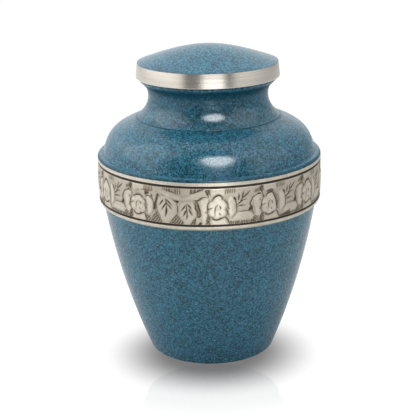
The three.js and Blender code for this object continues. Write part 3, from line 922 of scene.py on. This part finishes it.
def drawLeaves(band, origin):
    for pad in leafPads:
        band.lift(origin, *pad)
    for points, width, ink in leafVeins:
        band.cut(origin, points, width * band.spec["veinBold"], ink, band.spec["veinDepth"])
    band.cuts(origin, leafCuts)
    band.ticks(origin, np.arange(-9.4, 4.2, 1.42), fallingFoot, 14.0, 0.0, 0.62, 0.84)
    band.ticks(origin, np.arange(11.0, 20.6, 1.30), climbingFoot, 14.0, 0.7, 0.66, 0.92)
    band.shade(origin, [(-1.5, 4.6), (2.8, 4.3), (1.8, 2.6), (1.1, 1.2), (0.3, 2.9)], 0.62, 0.2)
    band.cut(origin, [(1.2, 1.4), (1.7, -1.6), (1.6, -5.0)], 0.60, 0.50)
    band.shade(origin, [(-14.9, 8.4), (-13.5, 8.0), (-14.0, 4.8), (-15.0, 1.2),
                        (-15.4, -3.4), (-18.0, -3.6), (-17.6, 0.2), (-16.0, 3.6)], 0.40, 0.2, 1.2)
    band.cut(origin, [(-14.1, 8.6), (-14.6, 4.8), (-15.7, 1.4), (-16.8, -1.2)], 1.00, 0.66)
    band.cut(origin, [(-14.4, 8.6), (-13.4, 7.6), (-12.2, 6.0)], 0.80, 0.62)
    bract = [(14.2, 4.6), (16.4, 4.4), (17.6, 0.0), (18.8, -6.4), (15.6, -7.2), (15.2, -2.0)]
    band.shade(origin, bract, 0.08)
    band.shade(origin, [(-25.2, 9.0), (-23.4, 9.6), (-20.8, 9.2), (-22.4, 7.0), (-24.8, 6.2)], 0.50, 0.2, 1.2)
    band.shade(origin, [(16.0, -13.5), (18.7, -11.2), (19.0, -13.5)], 0.80, 0.3)
    band.hatch(origin, [(-15.6, -3.6), (-20.6, -13.5), (-10.4, -13.5)], (44, -50), 1.75, 0.62, 0.84, 0.06)
    far = [(-25.0, -9.0), (-20.6, -8.6), (-18.9, -13.5), (-25.2, -13.5)]
    band.hatch(origin, far, (44, -50), 1.75, 0.60, 0.66, 0.06)
    band.hatch(origin, [(1.0, -5.2), (-5.4, -13.5), (6.2, -13.5)], (50, -42), 1.75, 0.62, 0.84, 0.06)
    band.hatch(origin, [(13.8, -8.2), (10.4, -13.5), (15.6, -13.5)], (55, -50), 1.6, 0.62, 0.84, 0.08)


def blurred(field, reach):
    kernel = np.exp(-0.5 * (np.arange(-3 * reach, 3 * reach + 1) / reach) ** 2)
    kernel /= kernel.sum()
    n = len(kernel) // 2
    wide = np.concatenate([field[:, -n:], field, field[:, :n]], 1)
    wide = sum(k * wide[:, i:i + field.shape[1]] for i, k in enumerate(kernel))
    tall = np.concatenate([wide[:1].repeat(n, 0), wide, wide[-1:].repeat(n, 0)], 0)
    return sum(k * tall[i:i + field.shape[0]] for i, k in enumerate(kernel))


def drawFrieze(spec):
    band = Band(spec)
    perDegree = math.radians(1.0) * beltSpec["radius"]
    for repeat in range(spec["repeats"]):
        start = spec["firstFlower"] + 360.0 / spec["repeats"] * repeat
        for n in range(spec["flowers"]):
            drawFlower(band, (start + spec["sprigGap"] * n) * perDegree, flowerForms[n])
            if n + 1 < spec["flowers"]:
                drawSprig(band, (start + spec["sprigGap"] * (n + 0.5)) * perDegree, n == 1)
        drawLeaves(band, (start - spec["leafGap"] / 2) * perDegree)
    height = blurred(band.raised + spec["ground"], 3) - band.depth
    plain = 1 - np.clip(blurred(band.raised, 4) / spec["plainFrom"], 0, 1) * spec["plainLoss"]
    grime = spec["patina"] * plain
    for reach, weight in (spec["hollow"], spec["basin"]):
        grime = grime + np.clip((blurred(height, reach) - height) * weight, 0, spec["grime"])
    reach, weight = spec["bleed"]
    stain = np.clip(blurred(band.ink, reach) * weight + grime, 0, 1)
    return height, 1 - (1 - band.ink) * (1 - stain)


def sampled(field, column, row):
    rows, columns = field.shape
    c, r = np.floor(column).astype(int), np.clip(np.floor(row).astype(int), 0, rows - 2)
    x, y = column - c, np.clip(row - r, 0, 1)
    c0, c1 = c % columns, (c + 1) % columns
    low = field[r, c0] * (1 - x) + field[r, c1] * x
    high = field[r + 1, c0] * (1 - x) + field[r + 1, c1] * x
    return low * (1 - y) + high * y


def makeFrieze(spec):
    low, high, gap = beltSpec["lowGroove"], beltSpec["highGroove"], spec["backGap"]
    lowBank = grooveLine("low", 1)[::-1]
    highBank = grooveLine("high", -1)
    rows = [(beltFace(z), z) for z in evenly(spec["bands"], lowBank[-1][1], highBank[0][1])]
    back = beltSpec["backRadius"] - gap
    profile = [(back, low - gap)] + lowBank[:-1] + rows + highBank[1:] + [(back, high + gap)]
    piece = spinPiece("engravedFrieze", profile, spec["steps"], [pewter])
    height, ink = drawFrieze(spec)
    co = vertexPlaces(piece)
    radius = np.hypot(co[:, 0], co[:, 1])
    z = co[:, 2] / mm
    column = np.arctan2(co[:, 0], -co[:, 1]) / (2 * math.pi) * spec["columns"]
    row = (z - spec["middle"] + spec["half"]) / (2 * spec["half"]) * (spec["rows"] - 1)
    onFace = radius > (beltSpec["backRadius"] + 0.2) * mm
    toEdge = np.minimum(z - low, high - z) - spec["edgeFree"]
    edge = np.clip(toEdge / spec["edgeSoft"], 0, 1)
    move = np.where(onFace, sampled(blurred(height, 2), column, row) * edge, 0.0)
    co[:, :2] *= ((radius + move * mm) / radius)[:, None]
    piece.data.vertices.foreach_set("co", co.reshape(-1))
    setInk(piece, np.maximum(sampled(blurred(ink, 1), column, row) * edge, grooveInk(z)))
    piece.data.update()
    settle(piece, "urn_body")
    return piece


frieze = makeFrieze(friezeSpec)
print("frieze engraved:", len(frieze.data.polygons), "faces")


# lid

lidSpec = {
    "top": 245.2, "slope": 0.44, "crown": 38.0, "edge": 53.2, "wall": 2.4, "hollow": 50.0,
    "turnOver": 54.0, "turnDrop": 0.45, "paintEdge": 54.42, "paintLine": 232.7, "tuck": 52.6, "tuckDrop": 0.6,
    "rimBack": (53.0, 232.5), "rimTop": (54.4, 232.5), "rimLow": (55.6, 222.0), "rimTuck": (54.3, 221.3),
    "rimSwell": 0.10, "rimRound": 0.5,
    "seat": 220.5, "seatEdge": 53.2,
    "collar": 43.6, "collarWall": 2.2, "collarBottom": 209.0, "collarBevel": 0.4,
    "flange": 223.1, "flangeEdge": 52.0, "rimInside": (51.6, 231.5),
    "steps": 256,
}


def domeHeight(r, spec):
    return spec["top"] - spec["slope"] * (math.hypot(r, spec["crown"]) - spec["crown"])


def makeDome(spec):
    outside = [(r, domeHeight(r, spec)) for r in evenly(40, 0.0, spec["edge"])]
    outside += [(spec["turnOver"], outside[-1][1] - spec["turnDrop"]), (spec["paintEdge"], spec["paintLine"])]
    under = [(spec["tuck"], spec["paintLine"] - spec["tuckDrop"])]
    under += [(r, domeHeight(r, spec) - spec["wall"]) for r in evenly(12, spec["hollow"], 0.0)]
    dome = spinPiece("lidDome", outside + under, spec["steps"], [enamel], closed=False)
    settle(dome, "urn_lid")


def makeRim(spec):
    top, low, size = Vector(spec["rimTop"]), Vector(spec["rimLow"]), spec["rimRound"]
    profile = [spec["rimBack"]]
    for t in evenly(14):
        p = top.lerp(low, t)
        profile.append((p.x + spec["rimSwell"] * math.sin(math.pi * t), p.y))
    profile += roundPoints((low.x - size, low.y), size, -8, -80, 6) + [spec["rimTuck"]]
    collar, bottom, bevel = spec["collar"], spec["collarBottom"], spec["collarBevel"]
    inner = collar - spec["collarWall"]
    profile += [(spec["seatEdge"], spec["seat"]), (collar, spec["seat"]), (collar, bottom + bevel)]
    profile += [(collar - bevel, bottom), (inner, bottom), (inner, spec["flange"])]
    profile += [(spec["flangeEdge"], spec["flange"]), spec["rimInside"]]
    rim = spinPiece("lidRim", profile, spec["steps"], [nickel])
    settle(rim, "urn_lid")


makeDome(lidSpec)
makeRim(lidSpec)
print("lid turned")


# floor and light

floorSpec = {
    "size": 8.0,
    "bounce": 0.47, "nearBounce": 0.60, "nearFrom": 0.26, "nearTo": 0.42,  # painted light thrown back on the urn: the floor it sees is paler near the foot and on the left
    "leftBounce": 0.69, "rightBounce": 0.47, "bounceFrom": 0.10, "bounceTo": 0.40,
    "reach": 1.0, "reachSoft": 0.05, "bounceRoughness": 0.6,
    "halo": -0.0262, "haloFrom": 0.0350, "haloTo": 0.0955,  # painted soft shadow around the foot
    "haloNarrow": 1.04, "haloFlat": 1.13,
    "shade": 0.198, "white": 1.03,
    "mirror": 0.115, "mirrorFrom": 0.107, "mirrorTo": 0.147,  # faint image that fades to the front
    "arch": 0.0495, "archTop": -0.05, "archSpread": 0.18, "archEdge": 0.0012,  # its outline on the floor
    "roughness": 0.03,
}


def paleFloor(spec):
    bench = Bench(bpy.data.materials.new("paleFloor"))
    x, y = bench.axes(bench.coords())[:2]
    front = y * -1.0
    # the floor the camera sees glows white, with a painted soft shadow around the foot
    halo = (x * spec["haloNarrow"]).across((y - spec["halo"]) * spec["haloFlat"])
    tone = bench.mix(halo.between(spec["haloFrom"], spec["haloTo"]), grey(spec["shade"]), grey(spec["white"]))
    glowWithPaintedShadow = bench.shader({
        "Base Color": grey(0.0),
        "Specular IOR Level": 0.0,
        "Emission Color": tone,
        "Emission Strength": 1.0,
    })
    gloss = bench.shader({"Base Color": grey(1.0), "Metallic": 1.0, "Roughness": spec["roughness"]})
    # the floor the urn sees: a diffuse grey, paler near the foot and on the left, darker on the right, as
    # painted light thrown back on it
    near = front.between(spec["nearFrom"], spec["nearTo"])
    bright = bench.mix(near, grey(spec["nearBounce"]), grey(spec["bounce"]))
    for side, name in ((x * -1.0, "leftBounce"), (x, "rightBounce")):
        bright = bench.mix(side.between(spec["bounceFrom"], spec["bounceTo"]), bright, grey(spec[name]))
    bounce = bench.shader({"Base Color": bright, "Roughness": spec["bounceRoughness"]})
    beyond = front.between(spec["reach"], spec["reach"] + spec["reachSoft"])
    bounce = bench.blend(beyond, bounce, bench.out("ShaderNodeBsdfTransparent", 0))
    fade = (1.0 - x.across(y).between(spec["mirrorFrom"], spec["mirrorTo"])) * spec["mirror"]
    past = y - (spec["archTop"] - spec["arch"])
    spread = (past * -1.0).calc("MAXIMUM", 0.0) * spec["archSpread"]
    outline = x.across(past.calc("MAXIMUM", 0.0)) - spread
    fade = fade * (1.0 - outline.between(spec["arch"] - spec["archEdge"], spec["arch"] + spec["archEdge"]))
    seen = bench.out("ShaderNodeLightPath", "Is Camera Ray")
    return bench.close(bench.blend(seen, bounce, bench.blend(fade, glowWithPaintedShadow, gloss)))


def makeFloor(spec):
    bm = bmesh.new()
    bmesh.ops.create_grid(bm, x_segments=8, y_segments=8, size=spec["size"] / 2)
    mesh = meshFrom("studioFloor", bm)
    mesh.materials.append(paleFloor(spec))
    floor = place("studioFloor", mesh)


worldSpec = {
    "around": [  # grey of the walls, from back to front
        (0.0, 0.92), (0.5, 1.14), (0.68, 1.05), (0.8, 0.98), (0.86, 0.95), (0.905, 0.17), (1.0, 0.17),
    ],
    # brighter walls behind on both sides
    "sideGlow": 1.75, "glowSide": (0.2, 0.6), "glowBack": (-0.1, 0.4), "glowRise": (0.1, 0.35),
    # the right side is dimmer, most of all towards the back
    "rightShade": 0.55, "rightLift": 0.24, "rightSide": (0.25, 0.70), "rightFront": (-0.4, 0.7),
    # dim in front, above the card
    "frontShade": 0.8, "frontFacing": (0.55, 0.8), "frontRise": (0.12, 0.32),
    # soft light above, leaning to the back
    "overhead": 0.95, "upright": 0.85, "lean": 0.55, "overheadEdge": (0.66, 1.0),
    # narrow white card low in front
    "card": 1.70, "cardAzimuth": 8.0, "cardSide": (0.935, 0.975), "cardRise": (0.05, 0.14),
    "strength": 1.0,
}


def makeWorld(spec):
    world = bpy.data.worlds.new("softStudio")
    bpy.context.scene.world = world
    bench = Bench(world)
    x, y, rise = bench.axes(bench.out("ShaderNodeTexCoord", "Generated"))
    level = (x * x + y * y + 1e-6).calc("SQRT")
    facing = (y * -1.0) / level
    colour = bench.ramp(facing * 0.5 + 0.5, [(at, grey(tone)) for at, tone in spec["around"]])
    glow = (x * x).between(*spec["glowSide"]) * y.between(*spec["glowBack"]) * rise.between(*spec["glowRise"])
    colour = bench.mix(glow, colour, grey(spec["sideGlow"]))
    lift = facing.between(*spec["rightFront"]) * spec["rightLift"]
    shade = x.between(*spec["rightSide"]) * (spec["rightShade"] - lift)
    colour = bench.mix(shade, colour, grey(0.0))
    shade = facing.between(*spec["frontFacing"]) * rise.between(*spec["frontRise"]) * spec["frontShade"]
    colour = bench.mix(shade, colour, grey(0.0))
    above = (rise * spec["upright"] + y * spec["lean"]).between(*spec["overheadEdge"])
    colour = bench.mix(above, colour, grey(spec["overhead"]))
    turn = math.radians(spec["cardAzimuth"])
    ahead = (x * math.sin(turn) - y * math.cos(turn)) / level
    card = ahead.between(*spec["cardSide"]) * (1.0 - rise.between(*spec["cardRise"]))
    colour = bench.mix(card, colour, grey(spec["card"]))
    back = bench.out("ShaderNodeBackground", 0, {}, {"Color": colour, "Strength": spec["strength"]})
    bench.add("ShaderNodeOutputWorld", {}, {"Surface": back})


lightAim = Vector((0.0, 0.0, 0.155))  # every light points here
lightSpec = {
    "keyBox": {
        "azimuth": 10.8, "elevation": 40.5, "distance": 3.0, "size": 1.64, "power": 99.0,
        "round": True, "diffuse": False,
    },
    "lowCard": {
        "azimuth": 5.0, "elevation": -20.0, "distance": 0.35, "size": 0.11, "power": 0.048, "round": True,
    },
    "overheadFill": {
        "azimuth": 180.0, "elevation": 72.0, "distance": 2.4, "size": 1.8, "power": 29.0, "glossy": False,
    },
    "leftPanel": {"azimuth": -84.0, "elevation": 38.0, "distance": 1.5, "size": 1.4, "power": 8.2},
    "rightPanel": {"azimuth": 73.0, "elevation": 38.0, "distance": 1.5, "size": 1.4, "power": 5.8},
}


def makeLight(name, spec):
    azimuth, elevation = math.radians(spec["azimuth"]), math.radians(spec["elevation"])
    level = math.cos(elevation)
    away = Vector((math.sin(azimuth) * level, -math.cos(azimuth) * level, math.sin(elevation)))
    data = bpy.data.lights.new(name, "AREA")
    data.shape = "DISK" if spec.get("round") else "SQUARE"
    data.size = spec["size"]
    data.energy = spec["power"]
    light = place(name, data)
    turn = away.to_track_quat("Z", "Y").to_matrix().to_4x4()
    light.matrix_world = Matrix.Translation(lightAim + away * spec["distance"]) @ turn
    light.visible_camera = False
    light.visible_diffuse = spec.get("diffuse", True)
    light.visible_glossy = spec.get("glossy", True)


makeFloor(floorSpec)
makeWorld(worldSpec)
for lightName, spec in lightSpec.items():
    makeLight(lightName, spec)
print("floor and light placed")
